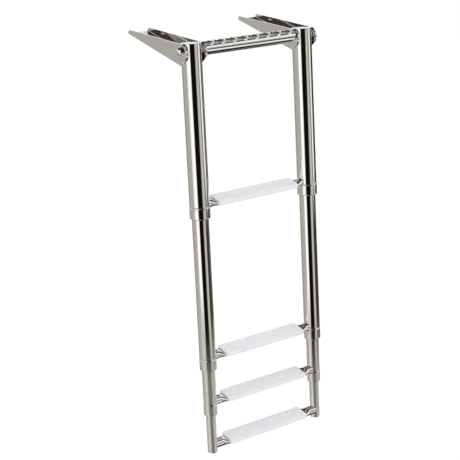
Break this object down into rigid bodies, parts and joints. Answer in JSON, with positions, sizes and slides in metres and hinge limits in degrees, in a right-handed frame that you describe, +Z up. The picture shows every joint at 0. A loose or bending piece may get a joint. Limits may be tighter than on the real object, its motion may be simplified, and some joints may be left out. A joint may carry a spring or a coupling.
{
  "type": "boat boarding ladder",
  "caption": "Telescoping stainless boarding ladder that pivots on two deck brackets, with sliding tube sections and white plastic treads.",
  "frame": {"origin": "centre of the four deck bolts, on the deck plane under the two brackets", "axes": "+X towards the right-hand rail seen from the water, +Y inboard over the deck, +Z up; the rails lean about 17 degrees outboard as the ladder rests on its stop"},
  "size_m": [0.3238, 0.3992, 0.7587],
  "materials": {
    "polished_steel": "mirror-polished stainless steel",
    "satin_steel": "polished stainless sheet with a fine lengthwise grain",
    "plain_steel": "machined stainless steel",
    "tread_plastic": "white moulded plastic with fine ribs",
    "guide_plastic": "natural nylon"
  },
  "bodies": {
    "deck_mount": {"left_bracket": "satin_steel", "left_bar_plug": "plain_steel", "left_bar_washer": "plain_steel", "left_bolt_washer": "plain_steel", "left_pivot_spacer": "plain_steel", "left_pivot_bolt": "polished_steel", "right_bracket": "satin_steel", "right_bar_plug": "plain_steel", "right_bar_washer": "plain_steel", "right_bolt_washer": "plain_steel", "right_pivot_spacer": "plain_steel", "right_pivot_bolt": "polished_steel", "top_bar": "polished_steel"},
    "upper_section": {"left_upper_tube": "polished_steel", "right_upper_tube": "polished_steel", "left_upper_collar": "polished_steel", "left_upper_guide_bush": "guide_plastic", "right_upper_collar": "polished_steel", "right_upper_guide_bush": "guide_plastic", "left_pivot_bush": "guide_plastic", "left_rail_cap": "polished_steel", "right_pivot_bush": "guide_plastic", "right_rail_cap": "polished_steel", "upper_rung": "polished_steel", "upper_tread": "tread_plastic", "upper_tread_screws": "plain_steel"},
    "second_section": {"left_second_tube": "polished_steel", "right_second_tube": "polished_steel", "left_second_collar": "polished_steel", "left_second_guide_bush": "guide_plastic", "right_second_collar": "polished_steel", "right_second_guide_bush": "guide_plastic", "left_second_stop_ring": "guide_plastic", "right_second_stop_ring": "guide_plastic", "second_rung": "polished_steel", "second_tread": "tread_plastic", "second_tread_screws": "plain_steel"},
    "third_section": {"left_third_tube": "polished_steel", "right_third_tube": "polished_steel", "left_third_collar": "polished_steel", "left_third_guide_bush": "guide_plastic", "right_third_collar": "polished_steel", "right_third_guide_bush": "guide_plastic", "left_third_stop_ring": "guide_plastic", "right_third_stop_ring": "guide_plastic", "third_rung": "polished_steel", "third_tread": "tread_plastic", "third_tread_screws": "plain_steel"},
    "lowest_section": {"left_lowest_tube": "polished_steel", "right_lowest_tube": "polished_steel", "left_lowest_stop_ring": "guide_plastic", "right_lowest_stop_ring": "guide_plastic", "left_foot_cap": "polished_steel", "right_foot_cap": "polished_steel", "lowest_rung": "polished_steel", "lowest_tread": "tread_plastic", "lowest_tread_screws": "plain_steel"}
  },
  "joints": [
    {"name": "ladder_pivot", "type": "hinge", "parent": "deck_mount", "child": "upper_section", "pos_m": [0, -0.101, 0.0272], "axis": [-1, 0, 0], "range_deg": [0, 253.1]},
    {"name": "second_slide", "type": "slide", "parent": "upper_section", "child": "second_section", "axis": [0, 0.2907, 0.9568], "range_m": [0, 0.25]},
    {"name": "third_slide", "type": "slide", "parent": "second_section", "child": "third_section", "axis": [0, 0.2907, 0.9568], "range_m": [-0.2043, 0.052]},
    {"name": "lowest_slide", "type": "slide", "parent": "third_section", "child": "lowest_section", "axis": [0, 0.2907, 0.9568], "range_m": [-0.2079, 0.049]}
  ]
}
